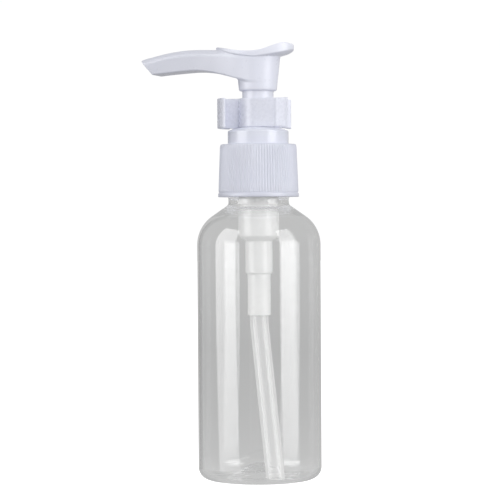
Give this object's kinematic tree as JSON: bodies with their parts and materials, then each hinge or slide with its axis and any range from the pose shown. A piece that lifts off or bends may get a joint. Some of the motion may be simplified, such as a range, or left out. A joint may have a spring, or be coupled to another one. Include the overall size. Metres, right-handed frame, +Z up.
{
  "type": "pump oil bottle",
  "caption": "Clear round bottle with a screw-on lotion pump: ribbed closure, smooth collar, C-shaped lock clip, sprung stem and piston, curved spout with a thumb pad, and a dip tube.",
  "frame": {"origin": "on the bottle's axis, in the plane of the ring it stands on", "axes": "+Z up along the bottle's axis; the spout points along -X at rest; +Y completes the right-handed frame, and the pictured side faces -Y"},
  "size_m": [0.0605, 0.041, 0.1447],
  "materials": {
    "clear_pet": "clear gloss, blown PET",
    "white_pp": "satin gloss, cool white moulded PP",
    "natural_pp": "milky translucent PP",
    "natural_pe": "milky translucent PE",
    "soft_pe": "soft white foam PE",
    "spring_steel": "drawn stainless wire",
    "ball_glass": "polished glass"
  },
  "bodies": {
    "bottle": {"bottle": "clear_pet"},
    "pump": {"housing": "natural_pp", "gasket": "soft_pe", "collar": "white_pp", "dip_tube": "natural_pe", "spring": "spring_steel"},
    "closure": {"closure": "white_pp"},
    "ball": {"check_ball": "ball_glass"},
    "rod": {"piston_rod": "natural_pp"},
    "piston": {"piston": "natural_pe"},
    "head": {"stem": "white_pp", "actuator": "white_pp"},
    "clip": {"lock_clip": "white_pp"}
  },
  "joints": [
    {"name": "pump_lift", "type": "slide", "parent": "bottle", "child": "pump", "axis": [0, 0, 1], "range_m": [0, 0.00476]},
    {"name": "closure_turn", "type": "hinge", "parent": "pump", "child": "closure", "pos_m": [0, 0, 0.1], "axis": [0, 0, 1], "range_deg": [0, 540]},
    {"name": "ball_lift", "type": "slide", "parent": "pump", "child": "ball", "axis": [0, 0, 1], "range_m": [0, 0.0012]},
    {"name": "pump_stroke", "type": "slide", "parent": "pump", "child": "rod", "axis": [0, 0, -1], "range_m": [0, 0.0115], "stiffness_N_per_m": 600, "springref_m": -0.004, "deforming": ["spring"]},
    {"name": "piston_float", "type": "slide", "parent": "rod", "child": "piston", "axis": [0, 0, 1], "range_m": [0, 0.0012]},
    {"name": "head_swivel", "type": "hinge", "parent": "rod", "child": "head", "pos_m": [0, 0, 0.13], "axis": [0, 0, 1], "continuous": true},
    {"name": "clip_pull", "type": "slide", "parent": "pump", "child": "clip", "axis": [-0.9816, -0.1908, 0], "range_m": [0, 0.092]}
  ],
  "couplings": [
    {"joint": "closure_turn", "follows": "pump_lift", "rad_per_m": 1979},
    {"joint": "clip_pull", "follows": "pump_stroke", "ratio": 8}
  ]
}
